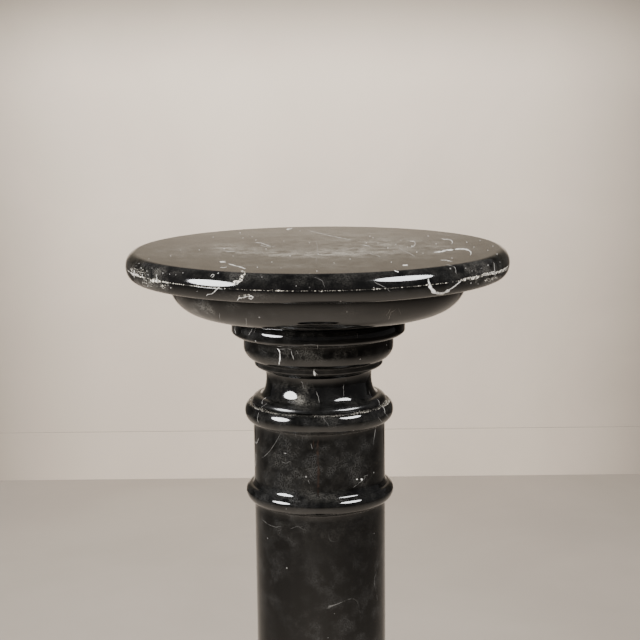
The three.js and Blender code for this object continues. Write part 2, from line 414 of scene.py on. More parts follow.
def clouded_ground(n, grain):
    """Near-black stone with grey clouds and patches of frosty grain."""
    cloud = n.band(n.noise(14, 9, 0.62, 0.3), 0.46, 0.78)
    tuft = n.band(n.noise(75, 3, 0.55), 0.40, 0.68)
    patch = n.band(n.noise(9, 4, 0.55, 0.2, n.moved((3.1, 0.4, 1.7))), 0.44, 0.66)
    return n.mix(n.times(patch, tuft, grain), n.mix(cloud, GROUND, CLOUD), FROST)


def hair_veins(n):
    """Two sets of long thin veins, each rare and broken."""
    veins = []
    for scale, width, offset, distortion, strength in HAIR_VEINS:
        rare = n.band(n.noise(8, 2, 0.5, 0.0, n.moved(offset[::-1])), 0.56, 0.66)
        veins.append(n.times(n.threads(scale, width, offset, distortion), rare, strength))
    broken = n.band(n.noise(150, 4, 0.6), 0.40, 0.62)
    return n.times(n.math("MAXIMUM", *veins), broken)


def natural_specks(n):
    """Pale dots, in the few cells of a pattern whose own tint is the reddest."""
    cells = n.tree.nodes.new("ShaderNodeTexVoronoi")
    n.put(cells, "Vector", n.place)
    n.put(cells, "Scale", SPECK_CELLS)
    tint = n.tree.nodes.new("ShaderNodeSeparateColor")
    n.put(tint, "Color", cells.outputs["Color"])
    near = n.band(cells.outputs["Distance"], *SPECK_EDGE)
    chosen = n.band(tint.outputs["Red"], *SPECK_CHOICE)
    return n.times(near, chosen, SPECK_STRENGTH)


def crumbs(n):
    """Crumbled stone where chips are painted, in fewer crumbs where they are painted weakly."""
    chip = n.painted("chip")
    sparser = n.times(n.math("SUBTRACT", chip, 1.0), CRUMBS_SPARSER)
    crumb = n.band(n.math("ADD", n.noise(800, 4, 0.7), sparser), 0.38, 0.56)
    return n.times(crumb, n.band(chip, 0.0, 0.5))


def polish(n, crumbled):
    """A high polish, duller at smears, at worn edges and where the stone has crumbled."""
    smear = n.band(n.noise(22, 6, 0.6, 1.0), 0.40, 0.75)
    rough = n.math("ADD", n.times(smear, SMEARED), POLISHED)
    rough = n.math("ADD", rough, n.times(n.painted("dull"), DULLED))
    rough = n.math("ADD", rough, n.times(crumbled, CRUMBLED), clamp=True)
    n.put(n.shader, "Roughness", rough)
    n.shader.inputs["Specular IOR Level"].default_value = SPECULAR_LEVEL
    n.shader.inputs["IOR"].default_value = REFRACTIVE_INDEX
    bump = n.tree.nodes.new("ShaderNodeBump")
    uneven = n.math("ADD", n.noise(60, 3, 0.5), n.times(n.noise(1500, 2, 0.5), GRAIN_SHARE))
    n.put(bump, "Height", uneven)
    n.put(bump, "Strength", BUMP_STRENGTH)
    n.put(bump, "Distance", BUMP_DEPTH)
    n.put(n.shader, "Normal", bump.outputs["Normal"])


def black_marble():
    """Polished black limestone, with what is painted on the stones: haze, in a few places painted sheen and
    the glow of a highlight, chips, iron and veins.
    """
    material = bpy.data.materials.new("black_marble")
    n = Nodes(material)
    grain = n.band(n.noise(1150, 4, 0.72), 0.36, 0.66)
    colour = clouded_ground(n, grain)
    colour = n.mix(hair_veins(n), colour, VEIN)
    colour = n.mix(natural_specks(n), colour, VEIN)
    wisp = n.band(n.noise(95, 8, 0.72, 0.1, n.moved((1.3, 5.1, 2.9))), 0.38, 0.64)
    # Painted haze: grey clouds in the stone, and in a few places painted sheen and the glow of a highlight
    colour = n.mix(n.times(wisp, grain, n.painted("cloud")), colour, HAZE_AND_SHEEN)
    crumbled = crumbs(n)
    colour = n.mix(crumbled, colour, CRUSHED)
    iron = n.times(n.painted("iron"), n.band(n.noise(260, 5, 0.6), 0.30, 0.65))
    colour = n.mix(iron, colour, IRON)
    vein = n.times(n.painted("vein"), n.band(n.noise(420, 4, 0.6), 0.22, 0.52))
    n.put(n.shader, "Base Color", n.mix(vein, colour, VEIN))
    polish(n, crumbled)
    return material


# Marks that the photograph shows, placed one by one. Each is half its width in picture points, its strength,
# and the picture points that it runs through.
TOP_VEINS = (
    (1.1, 1.0, (433.5, 252.2), (440, 251.8), (447, 250.2), (455, 249.6)),
    (0.9, 1.0, (453, 249.6), (462, 248.9), (468, 250.2), (470.8, 252.5), (470.2, 255.3)),
    (0.7, 0.7, (441, 239), (448, 239.5), (452, 241), (452, 244.5)),
    (0.6, 0.5, (440, 260.3), (446, 260.2), (453, 261.8)),
    (1.0, 0.8, (219.5, 261.4), (226, 262.2)),
    (0.6, 0.8, (228, 263.6), (238, 266.6), (246, 268.8)),
    (0.5, 0.5, (220, 267.6), (227, 267.2)),
    (1.1, 0.9, (402.5, 265.3), (408.2, 264.9)),
    (0.8, 0.8, (394.5, 270.4), (398.5, 272.2)),
    (0.9, 0.9, (286.5, 229.6), (292.5, 228.2)),
    (0.5, 0.35, (307, 230.5), (325, 234.5), (342, 238.2), (354, 240.4)),
    (0.5, 0.2, (316, 240), (317.5, 250), (316, 262)),
    (0.6, 0.5, (255, 242.5), (261, 243), (267, 245), (272, 247)),
    (0.6, 0.5, (362, 245), (370, 246.2)),
    (0.7, 0.5, (409, 241), (414.5, 242), (414.5, 245.5), (410, 247.5)),
    (0.5, 0.3, (369, 253), (375, 255), (381, 257)),
    (0.5, 0.3, (398, 247), (406, 252), (416, 256.5)),
    (0.5, 0.3, (260, 245), (268, 247), (276, 246)),
    (0.6, 0.5, (223, 250.5), (229, 251.5), (236, 251)),
)
EDGE_VEINS = (
    (1.0, 1.0, (428, 278.6), (428.9, 282), (430, 286)),
    (2.3, 1.0, (429.3, 284.5), (431.2, 289), (435, 292.4), (440, 293.6)),
    (1.7, 1.0, (437, 293.2), (441.5, 293.6), (446, 291.8), (451, 288.8)),
    (0.7, 0.75, (448, 290.8), (453, 287.4), (457, 284.2), (461, 281)),
    (0.5, 0.35, (484, 276.5), (488, 273.5), (493, 272.8), (496, 275)),
    (0.35, 0.25, (445, 264.5), (451, 265.5), (455, 268), (456.5, 275)),
    (0.35, 0.30, (493.5, 262), (494.5, 268), (494.8, 273), (495, 279)),
    (0.7, 0.7, (219.5, 286.8), (216.5, 289.6), (213.5, 292.4)),
    (0.35, 0.6, (214, 292), (211.5, 293.8), (208, 294.4), (206, 296.2)),
    (0.6, 0.7, (237, 301.6), (238.8, 298.4), (244, 297.2), (248, 296)),
    (0.8, 0.8, (248.6, 297.5), (250.6, 295.8), (252.8, 297.2), (251.2, 299.2), (249, 298.2)),
    (0.35, 0.45, (210.6, 276.6), (211.8, 274.6), (213.8, 274.6), (213.2, 276.8), (211.4, 277.6)),
    (0.5, 0.55, (217.2, 273.6), (219, 273)),
    (0.4, 0.9, (134.2, 269.5), (134, 274), (134.4, 278.5)),
    (0.35, 0.7, (129, 271.5), (134, 274.2), (139, 274.4)),
    (0.35, 0.7, (142.4, 273.6), (142.6, 278)),
    (0.4, 0.8, (156.2, 273.8), (156.8, 278), (157.2, 282.5)),
    (0.3, 0.12, (314, 277), (322, 281), (325, 288)),
    (0.3, 0.2, (374, 282), (386, 288), (390, 292)),
)
EDGE_CRUMBS = (
    (2.3, 0.62, (459.5, 280.6), (466, 279.2), (474, 278.0), (482, 275.6)),
    (2.2, 0.60, (480, 276.0), (487, 274.0), (494, 272.8), (501, 271.2), (508.5, 267.8)),
    (2.9, 1.0, (242.2, 274.5), (241, 278.5), (238, 281.8), (231, 283.8)),
    (1.6, 0.6, (241, 270.8), (244.5, 272.5), (243, 276)),
    (1.8, 0.9, (150, 280), (155, 281.2), (160.5, 282)),
    (1.6, 0.8, (131, 273.4), (136, 275.2), (142, 277.6)),
    (5.0, 0.45, (142, 282), (148, 284), (153, 285)),
    (4.0, 0.35, (130, 269), (137, 271), (146, 273)),
    (3.0, 0.35, (160, 285), (166, 288)),
    (3.0, 0.45, (238, 298), (245, 296.5), (253, 297)),
    (2.5, 0.40, (484, 281), (492, 279), (498, 277)),
)
BED_VEINS = (
    (0.32, 0.27, (386, 315.5), (389, 312), (390.5, 308.5)),
    (0.32, 0.27, (388.5, 320), (389.5, 316.5), (391, 312.5), (396, 309)),
    (0.28, 0.18, (219.5, 313), (220.2, 322)),
    (0.28, 0.21, (246, 318), (246.5, 326)),
    (0.24, 0.15, (398, 308), (401, 314)),
)
CAPITAL_VEINS = (
    (0.35, 0.33, (235, 326), (234.6, 330), (236, 334)),
    (0.28, 0.28, (252.8, 328.5), (250.5, 332), (248.5, 335.5)),
    (0.21, 0.17, (255.5, 328), (254, 333)),
    (0.28, 0.17, (357, 333), (357.5, 338)),
    (0.6, 0.8, (277, 348), (279.3, 351.5), (280, 357), (279, 365.5)),
    (0.28, 0.19, (278, 349.3), (286, 348.8), (292, 349.3)),
    (0.35, 0.25, (291, 350.5), (292.3, 355), (294, 360)),
    (0.24, 0.17, (296.5, 350), (298, 354)),
    (0.35, 0.39, (317.2, 344.5), (317.6, 349.5)),
    (0.21, 0.19, (303, 345), (310, 344.4), (317, 345)),
    (1.2, 0.7, (313.6, 370.5), (314.2, 373), (315.2, 375.8)),
    (0.49, 0.25, (314.8, 371.5), (317.8, 375.5)),
    (0.21, 0.19, (301.5, 381), (303, 385), (303.5, 389)),
    (0.24, 0.3, (316.2, 391), (318.2, 397), (319.6, 403)),
    (0.21, 0.25, (343.8, 384), (343.4, 390), (343.8, 396.5)),
    (0.35, 0.39, (266, 397.5), (263, 400), (262, 404.5)),
    (0.24, 0.19, (258.5, 409.5), (263, 406), (267.5, 403.5)),
)
SHAFT_VEINS = (
    (0.28, 0.11, (281, 432.5), (277, 440), (272, 448), (266, 455), (261, 458.5)),
    (0.35, 0.25, (254.5, 441), (256.5, 443), (259, 438)),
    (0.35, 0.2, (255.5, 452), (256, 459), (255.5, 468)),
    (0.7, 0.25, (283.5, 453.2), (286.6, 453.4)),
    (0.21, 0.12, (281, 461), (285, 463), (291, 461.5)),
    (0.28, 0.17, (311, 443.5), (312.5, 449)),
    (0.30, 0.12, (366, 476), (362.5, 480), (358, 484), (353, 488)),
    (0.24, 0.17, (368, 474.5), (363, 477)),
    (1.0, 1.0, (356.0, 479.0), (357.6, 479.2)),
    (1.0, 1.0, (360.6, 479.2), (362.4, 479.4)),
    (0.28, 0.13, (377.5, 415.8), (381, 421), (388, 428)),
    (0.28, 0.13, (383, 411), (388, 417), (390.5, 424)),
    (0.35, 0.25, (252.5, 402), (255.5, 407), (258.5, 410.5)),
    (0.24, 0.23, (259, 412), (257.4, 418), (258.5, 423)),
    (0.21, 0.11, (321, 412), (325, 420), (330, 427)),
    (0.28, 0.17, (308, 480), (309.5, 484)),
    (0.30, 0.10, (262, 519.5), (268, 524), (275, 527), (282, 526)),
    (0.21, 0.10, (290, 529), (297, 526.5), (303, 529)),
)
IRON_STAINS = (
    (1.7, 0.8, (318.2, 437), (317.6, 455), (318.6, 475), (317.9, 497)),
    (0.8, 0.6, (313.6, 440), (313.2, 448)),
)
# Small pale dots, by their picture points
TOP_SPECKS = (
    (205, 243), (213, 237), (181, 250), (171, 256), (240, 233), (256, 240), (272, 262), (262, 245),
    (309, 243), (334, 263), (350, 259), (366, 243), (373, 238), (385, 246), (401, 240), (412, 246),
    (423, 253), (436, 244), (467, 242), (474, 247), (480, 240.5), (488, 250), (493, 246), (497, 254),
    (300, 231), (318, 254), (290, 256), (233, 256), (149, 259), (428, 236), (391, 262), (446, 232.5),
    (252, 237), (243, 238), (266, 249), (281, 268), (257, 267), (317, 271), (199, 250), (224, 249),
    (284, 241), (370, 236), (378, 243), (388, 248), (396, 244), (407, 247), (417, 252), (452, 258),
)
EDGE_SPECKS = (
    (136, 266), (141, 268), (147, 271), (152, 268), (158, 269), (163, 273), (170, 274), (176, 275),
    (183, 273), (148, 275), (139, 263.5), (144, 279), (150, 282), (148, 286), (168, 285), (171, 288),
    (197, 291.5), (262, 277), (296, 286), (466, 268), (472, 271), (481, 268), (488, 265), (478, 284),
    (500, 262), (493, 283), (374, 287.5), (428, 284),
)
# Their least and greatest half width in picture points, and least and greatest strength
TOP_SPECK_SIZES, TOP_SPECK_STRENGTHS = (0.55, 0.80), (0.55, 1.0)
EDGE_SPECK_SIZES, EDGE_SPECK_STRENGTHS = (0.35, 0.55), (0.30, 0.75)
SPECK_HALF_HEIGHT = 0.5
# Soft grey patches, a few of them painted sheen and highlight glow: the picture point of the middle, half
# width, half height, strength
TOP_CLOUDS = (
    (227, 246.5, 14, 3.5, 1.1),
    (240, 251, 30, 4, 0.9),
    (275, 253, 30, 4, 0.85),
    (318, 254.5, 30, 3.0, 1.5),
    (345, 251, 28, 3.5, 1.1),
    (372, 253, 32, 3.5, 0.8),
    (330, 241, 40, 5, 0.5),
    (385, 243, 30, 6, 0.8),
    (425, 247, 34, 8, 0.6),
    (250, 234, 50, 3, 0.35),
    (350, 233, 50, 2.5, 0.45),
    (300, 266, 60, 2.5, 0.40),
    (180, 252, 25, 6, 0.35),
    (320, 250, 150, 18, 0.30),
)
EDGE_CLOUDS_AND_SHEEN = (
    # The first row is frosty grain laid along the whole front of the rim as a painted sheen
    (320, 280, 120, 8, 0.05),
    (139, 270, 10, 7, 0.34),
    (147, 283, 8, 5, 0.59),
    (164, 287, 8, 4, 0.36),
    (160, 273, 14, 5, 0.25),
    (475, 270, 20, 7, 0.20),
    (484, 282, 14, 4, 0.27),
    (236, 276, 10, 5, 0.09),
    (250, 298, 20, 5, 0.14),
)
BED_CLOUDS = (
    (200, 311, 9, 9, 0.45),
    (209, 316, 6, 8, 0.25),
    (232, 305, 8, 5, 0.12),
    (391, 314, 8, 8, 0.17),
)
CAPITAL_CLOUDS_AND_GLOW = (
    # The first row, beside the neck's highlight, is partly a smear and partly a painted glow of that
    # highlight
    (299, 399, 6, 5, 0.58),
    (308, 389, 5, 5, 0.26),
    (306, 404, 10, 6, 0.20),
    (290, 386, 16, 6, 0.11),
    (300, 354, 40, 8, 0.16),
    (350, 354, 36, 8, 0.12),
    (352, 402, 18, 10, 0.09),
    (275, 402, 14, 8, 0.09),
    (320, 333, 70, 6, 0.10),
    (320, 372, 50, 5, 0.06),
)
SHAFT_CLOUDS = (
    (320, 462, 75, 60, 0.03),
    (285, 448, 20, 20, 0.03),
    (356, 466, 18, 18, 0.03),
    (272, 470, 14, 20, 0.04),
    (303, 478, 16, 12, 0.04),
    (320, 496, 40, 5, 0.10),
    (320, 419, 50, 6, 0.06),
    (320, 530, 60, 14, 0.04),
    (362, 482, 9, 5, 0.07),
    (387, 418, 8, 8, 0.12),
    (255, 418, 8, 8, 0.06),
)
MARKS = {
    "top_slab": (TOP_VEINS + EDGE_VEINS, TOP_CLOUDS + EDGE_CLOUDS_AND_SHEEN),
    "bed_moulding": (BED_VEINS, BED_CLOUDS),
    "capital": (CAPITAL_VEINS, CAPITAL_CLOUDS_AND_GLOW),
    "shaft": (SHAFT_VEINS, SHAFT_CLOUDS),
}
VEIN_LIFT = 0.02 * MM      # a vein lies in the polish, a hair proud of the ground round it
STAIN_LIFT = 0.01 * MM     # and stains and crumbs lie under the veins
VEIN_STEP = 0.35           # picture points between two places along a vein
VEIN_WANDER = 0.45         # how far, in picture points, a vein strays from its drawn line
LONG_STRAY, SHORT_STRAY = 0.35, 1.3     # and how quickly, in noise per picture point
ACROSS = (-1, -0.6, 0, 0.6, 1)          # places across a mark, as shares of half its width
FADE = (0, 0.85, 1, 0.85, 0)            # how strong the mark is at each of them
END_SHARE = 0.3                         # a mark's width and strength at its ends
TAPER, END_FADE = 4, 8                  # how steeply they grow from there
# How a mark varies along its way: middle, share of noise, its pace per step, how far apart two marks are
# in the noise, and where in it
WIDTH_COURSE, STRENGTH_COURSE = (0.8, 0.6, 0.11, 5.1, 2.0), (0.9, 0.5, 0.07, 3.3, 9.0)
STRAY_SLICE, SLICES_APART = 7.3, 31.7   # where in the noise the strays across and down are

MARBLE = black_marble()
# Name, profile, height, points around and rings of the flat top
STONES = (
    ("plinth", plinth_profile(), PLINTH_HEIGHT, 256, 0),
    ("base", base_profile(), BASE_HEIGHT, 256, 0),
    ("shaft", shaft_profile(), SHAFT_HEIGHT, 360, 0),
    ("capital", capital_profile(), CAPITAL_HEIGHT, 480, 0),
    ("bed_moulding", bed_profile(), BED_HEIGHT, 480, 0),
    ("top_slab", slab_profile(), SLAB_THICKNESS, 1280, 70),
)


def build_stones():
    """The stones by name, from the floor up."""
    stones = {}
    bed = 0.0
    for name, profile, height, columns, top_rings in STONES:
        stone = turned(name + "_stone", profile, bed, columns, top_rings)
        stone.data.materials.append(MARBLE)
        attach(stone, "root")
        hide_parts(name)
        stones[name] = stone
        bed += height + JOINT
    return stones


class Picture:
    """The photograph's camera, for placing marks on the stones."""

    def __init__(self, eye):
        self.place = eye.matrix_world.translation.copy()
        self.turn = eye.matrix_world.to_3x3()
        self.reach = LENS / SENSOR * PICTURE

    def ray(self, x, y):
        """Direction of the camera's ray through a picture point."""
        half = PICTURE / 2
        return (self.turn @ Vector(((x - half) / self.reach, (half - y) / self.reach, -1))).normalized()

    def points(self, places):
        """Picture points of an array of places."""
        seen = (places - np.array(self.place)) @ np.array(self.turn)
        half = PICTURE / 2
        return half + self.reach * seen[:, 0] / -seen[:, 2], half - self.reach * seen[:, 1] / -seen[:, 2]


def through(points):
    """A smooth line through the drawn points, at even small steps."""
    knots = [np.array(p, float) for p in points]
    knots = [2 * knots[0] - knots[1], *knots, 2 * knots[-1] - knots[-2]]
    line = []
    for a, b, c, d in zip(knots, knots[1:], knots[2:], knots[3:]):
        steps = max(2, math.ceil(np.hypot(*(c - b)) / VEIN_STEP))
        for t in np.linspace(0, 1, steps, endpoint=False):
            line.append(0.5 * (2 * b + (c - a) * t + (2 * a - 5 * b + 4 * c - d) * t * t
                               + (3 * b - a - 3 * c + d) * t ** 3))
    line.append(knots[-2])
    return line


def stray(spot, reach, scale):
    """A small repeatable shift of a picture point, from two slices of one noise."""
    at = Vector((spot[0] * scale, spot[1] * scale, STRAY_SLICE))
    return reach * np.array([noise.noise(at), noise.noise(at + Vector((0, 0, SLICES_APART)))])


def wandering(points):
    """The line through the drawn points, as unsteady as a vein in stone."""
    return [spot + stray(spot, VEIN_WANDER, LONG_STRAY) + stray(spot, VEIN_WANDER / 2, SHORT_STRAY)
            for spot in through(points)]


def course(step, number, middle, share, pace, apart, level):
    """A factor that varies smoothly along a mark, differently for each mark."""
    return middle + share * noise.noise(Vector((step * pace, number * apart, level)))


class Surface:
    """A stone's polished surface, to lay marks on."""

    def __init__(self, stone):
        self.mesh = stone.data
        self.corners = [v.co.copy() for v in self.mesh.vertices]
        self.faces = [tuple(p.vertices) for p in self.mesh.polygons]
        self.tree = BVHTree.FromPolygons(self.corners, self.faces)
        self.normals = [v.normal.copy() for v in self.mesh.vertices]

    def nearest(self, place):
        """The closest place on the stone, with its smooth normal, or the face's own on the flat top."""
        spot, facing, index, _ = self.tree.find_nearest(place)
        face = self.faces[index]
        beside_rim = len(face) > 4
        round_middle = face[0] == len(self.corners) - 1
        if beside_rim or round_middle:
            return spot, facing
        weights = poly_3d_calc([self.corners[k] for k in face], spot)
        smooth = sum((w * self.normals[k] for w, k in zip(weights, face)), Vector())
        return spot, smooth.normalized()


def mark_rows(surface, number, mark, picture):
    """A mark's rows across, from one end to the other. Each has its places on the stone and how strong
    the mark is there. A row that runs off the stone is None."""
    width, strength, *points = mark
    line = wandering(points)
    rows = []
    for k, spot in enumerate(line):
        ahead = line[min(k + 1, len(line) - 1)] - line[max(k - 1, 0)]
        side = np.array((-ahead[1], ahead[0])) / np.hypot(*ahead)
        along = k / (len(line) - 1)
        from_end = min(along, 1 - along)
        half = width * course(k, number, *WIDTH_COURSE) * min(1, TAPER * from_end + END_SHARE)
        full = strength * min(1, course(k, number, *STRENGTH_COURSE))
        end_fade = min(1, END_FADE * from_end + END_SHARE)
        hits = [surface.tree.ray_cast(picture.place, picture.ray(*(spot + side * half * share)))[0]
                for share in ACROSS]
        rows.append(None if None in hits else (hits, [full * fade * end_fade for fade in FADE]))
    return rows


def lay_marks(name, stone, attribute, marks, picture, lift):
    """Thin strips of marble on the stone's surface, strong along their middle and gone at their edges."""
    surface = Surface(stone)
    corners, normals, strengths, faces = [], [], [], []
    for number, mark in enumerate(marks):
        last_row = None
        for found in mark_rows(surface, number, mark, picture):
            if found is None:
                last_row = None
                continue
            row = len(corners)
            for hit, strength in zip(*found):
                place, facing = surface.nearest(hit)
                corners.append(place + facing * lift)
                normals.append(facing)
                strengths.append(strength)
            if last_row is not None:
                for j in range(len(ACROSS) - 1):
                    faces.append((last_row + j, last_row + j + 1, row + j + 1, row + j))
            last_row = row
    mesh = bpy.data.meshes.new(name)
    mesh.from_pydata([tuple(c) for c in corners], [], faces)
    mesh.shade_smooth()
    paint(mesh, attribute, strengths)
    mesh.normals_split_custom_set_from_vertices([tuple(n) for n in normals])
    mesh.materials.append(MARBLE)
    strip = bpy.data.objects.new(name, mesh)
    bpy.context.scene.collection.objects.link(strip)
    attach(strip, "root")


def paint(mesh, name, values):
    """Gives each point of the mesh a number, which the marble's nodes read by that name."""
    mesh.attributes.new(name, "FLOAT", "POINT").data.foreach_set("value", values)


def point_values(mesh, what):
    """The place (co) or the normal of each point of the mesh, in rows of three."""
    values = np.zeros(len(mesh.vertices) * 3)
    mesh.vertices.foreach_get(what, values)
    return values.reshape(-1, 3)


def paint_clouds_and_sheen(stone, clouds, picture):
    """Marks the front of a stone with soft patches, on the side that the photograph shows. A few of them are
    painted sheen and the glow of a highlight.
    """
    places = point_values(stone.data, "co")
    facing = point_values(stone.data, "normal")
    x, y = picture.points(places)
    seen = ((np.array(picture.place) - places) * facing).sum(axis=1) > 0
    strength = np.zeros(len(places))
    for cx, cy, wide, tall, amount in clouds:
        strength += amount * np.exp(-(((x - cx) / wide) ** 2) - ((y - cy) / tall) ** 2)
    paint(stone.data, "cloud", np.where(seen, strength, 0))


# Crumbled places along the seam: the picture point across, half width, strength
SEAM_CHIPS = (
    (134, 3, 0.9), (142.5, 1.5, 0.5), (156, 4, 1.0), (166, 4, 0.3), (278, 2, 0.5),
    (272, 1.2, 0.4), (321, 1.5, 0.4), (374, 1, 0.4), (377, 2, 0.3), (427, 1.5, 0.4),
)
SEAM_CHIP_DEPTH = 0.45
SEAM_CHIP_HALF_HEIGHT = (1.1 * SEAM_HALF, 0.10)   # at least, and more by this share of its half width
SEAM_CHIP_REACH = 1.6                             # where a chip ends, in its half sizes squared
SEAM_CHIP_PALER, SEAM_CHIP_ROUGHNESS = 1.5, 0.9   # how pale it is, and its noise per mm
# How pale the line itself is, from the left end of the picture's slab to the right
SEAM_TONE_AT = (125, 160, 180, 235, 320, 425, 455, 465, 509)
SEAM_TONE = (1.1, 1.0, 0.58, 0.46, 0.40, 0.38, 0.50, 0.70, 0.80)
SEAM_TONE_BEHIND = 0.5
# Beads of paleness: their middle, coarse and fine noise per mm with its share, least and most
SEAM_BEADS = (0.8, (0.45, 0.9), (1.7, 0.9), (0.2, 1.5))
JOINT_BEADS = (0.75, (0.08, 1.3), (0.5, 0.7), (0.5, 1.2))
# Paleness of the joint in front and at its sides: chipped stone, and at the sides also a painted highlight
# and reflection on the ledge
JOINT_PALENESS_AND_HIGHLIGHT = (0.15, 0.28)      # paleness of the chipped joint over the shaft, in front and at its sides
JOINT_HEIGHT, JOINT_WIDTH = 0.6, 0.5    # how far the chips reach down the shaft and in from the foot's edge


def beads(at, middle, coarse, fine, limits):
    """How pale a string of crushed beads is at a place in mm."""
    uneven = middle + coarse[1] * noise.noise(at * coarse[0]) + fine[1] * noise.noise(at * fine[0])
    return np.clip(uneven, *limits)


def seam_chip(x, rise):
    """How badly the seam is chipped at a picture point across, and that many mm above it."""
    worst = 0.0
    for middle, half, strength in SEAM_CHIPS:
        half_height = SEAM_CHIP_HALF_HEIGHT[0] + SEAM_CHIP_HALF_HEIGHT[1] * half
        spread = ((x - middle) / half) ** 2 + (rise / half_height) ** 2
        worst = max(worst, strength * max(0, 1 - spread / SEAM_CHIP_REACH))
    return worst


def wear_seam(stone, bed, picture):
    """Beads of crushed pale stone along the seam, wider and deeper where it has chipped."""
    mesh = stone.data
    places = point_values(mesh, "co")
    rise = places[:, 2] / MM - (bed + SLAB_WIDEST)
    x, _ = picture.points(places)
    front = places[:, 1] < 0
    tone = np.where(front, np.interp(x, SEAM_TONE_AT, SEAM_TONE), SEAM_TONE_BEHIND)
    pale = np.zeros(len(places))
    for k in np.nonzero(np.abs(rise) < (SEAM_ROWS + 1) * SEAM_HALF)[0]:
        at = Vector(places[k]) / MM
        depth = 0.0
        if abs(rise[k]) < SEAM_HALF / 2:
            pale[k] = tone[k] * beads(at, *SEAM_BEADS)
            depth = SEAM_DEPTH
        if front[k]:
            chip = seam_chip(x[k], rise[k]) * (1.0 + noise.noise(at * SEAM_CHIP_ROUGHNESS))
            pale[k] = max(pale[k], min(1, SEAM_CHIP_PALER * chip))
            depth = max(depth, SEAM_CHIP_DEPTH * min(1, chip))
        places[k, :2] *= 1 - depth / SLAB_RADIUS
    mesh.vertices.foreach_set("co", places.ravel())
    paint(mesh, "chip", np.clip(pale, 0, 1))
    mesh.update()


def pale_joint_and_highlight(shaft):
    """The upper arris of the shaft, crushed pale where the capital beds on it. Its paleness, stronger at the
    sides, is also a painted highlight and reflection of the lamps and wall on its ledge.
    """
    places = point_values(shaft.data, "co") / MM
    top = places[:, 2].max()
    reach = np.hypot(places[:, 0], places[:, 1])
    pale = np.zeros(len(places))
    for k in np.nonzero((places[:, 2] > top - JOINT_HEIGHT) & (reach > FOOT_RADIUS - JOINT_WIDTH))[0]:
        tone = np.interp(abs(places[k, 0]) / reach[k], (0, 1), JOINT_PALENESS_AND_HIGHLIGHT)
        pale[k] = tone * beads(Vector(places[k]), *JOINT_BEADS)
    # The paleness is stored as chips, though at the sides it is partly a painted highlight
    paint(shaft.data, "chip", np.clip(pale, 0, 1))


def dull_foot(capital):
    """The rounded edge of the capital's foot, which has lost its high polish."""
    places = point_values(capital.data, "co") / MM
    height = places[:, 2] - places[:, 2].min()
    reach = np.hypot(places[:, 0], places[:, 1])
    edge = (height < FOOT_EDGE + FOOT_ROUND[1]) & (reach > FOOT_RADIUS - FOOT_ROUND[0])
    paint(capital.data, "dull", edge.astype(float))


def in_turn(ends, number, stride, steps):
    """One of a few even steps between two ends, which come up in a mixed order."""
    return ends[0] + (ends[1] - ends[0]) * (number * stride % steps) / (steps - 1)


def specks(places, sizes, strengths):
    """Pale dots, each a very short upright vein. Their sizes and strengths vary in turn."""
    dots = []
    for number, (x, y) in enumerate(places):
        size = in_turn(sizes, number, stride=7, steps=4)
        strength = in_turn(strengths, number, stride=5, steps=7)
        dots.append((size, strength, (x, y - SPECK_HALF_HEIGHT), (x, y + SPECK_HALF_HEIGHT)))
    return dots


def mark_stones(stones, picture):
    """Everything that is drawn, painted or worn on the stones."""
    slab = stones["top_slab"]
    for name, (veins, clouds) in MARKS.items():
        paint_clouds_and_sheen(stones[name], clouds, picture)
        lay_marks(name + "_veins", stones[name], "vein", veins, picture, VEIN_LIFT)
    lay_marks("shaft_stains", stones["shaft"], "iron", IRON_STAINS, picture, STAIN_LIFT)
    lay_marks("top_slab_crumbs", slab, "chip", EDGE_CRUMBS, picture, STAIN_LIFT)
    dots = specks(TOP_SPECKS, TOP_SPECK_SIZES, TOP_SPECK_STRENGTHS)
    dots += specks(EDGE_SPECKS, EDGE_SPECK_SIZES, EDGE_SPECK_STRENGTHS)
    lay_marks("top_slab_specks", slab, "vein", dots, picture, VEIN_LIFT)
    wear_seam(slab, HEIGHT - SLAB_THICKNESS, picture)
    pale_joint_and_highlight(stones["shaft"])
    dull_foot(stones["capital"])


# Studio, as the photograph and its reflections show it, in metres
WALL_AT = 2.83
WALL_TOP = 2.4
FLOOR_FRONT = -6.0
STUDIO_HALF_WIDTH = 5.0
SKIRTING_HEIGHT, SKIRTING_DEPTH = 0.133, 0.006
FLOOR_PAINT, FLOOR_ROUGHNESS = (0.275, 0.237, 0.196), 0.8
WALL_PAINT, WALL_ROUGHNESS = (0.68, 0.58, 0.475), 0.9
PAINT_DRIFT = (0.94, 1.04)      # darkest and palest share of a paint's colour
# The wall is shaded between these distances to each side, and above between these heights
WALL_LIT_ACROSS, SIDES_COLOUR, SIDES_SHARE = (0.55, 1.3), (0, 0, 0, 1), 0.85
WALL_LIT_UP, UPPER_COLOUR, UPPER_SHARE = (1.06, 1.40), (0.062, 0.050, 0.032, 1), 0.86
ROOM_LIGHT = (0.14, 0.134, 0.134, 1)
# Softboxes on the pedestal: azimuth and elevation seen from the slab, size, and power in watts
SOFTBOX_LEFT = (-63, 13, (1.08, 1.00), 165)
SOFTBOX_RIGHT = (57, 36.5, (1.15, 1.00), 160)
SOFTBOX_DISTANCE = 2.0
# Lamps on the backdrop: place, target, size, power in watts, and spread in degrees
WALL_WASH = ((-0.25, 1.1, 2.6), (-0.25, WALL_AT, 0.75), (1.6, 0.5), 65, 115)
FLOOR_WASH = ((-0.15, -0.7, 2.4), (-0.15, -0.7, 0), (0.7, 0.7), 142, 124)
ROOM_FILL = ((0, 0, 3.0), (0, 0, 0), (5.0, 5.0), 55, 180)


def drifting(n, colour):
    """A slight drift of tone over a painted surface."""
    darkest, palest = (tuple(share * c for c in colour) + (1,) for share in PAINT_DRIFT)
    return n.mix(n.band(n.noise(1.6, 5, 0.6, 0.4), 0.3, 0.7), darkest, palest)


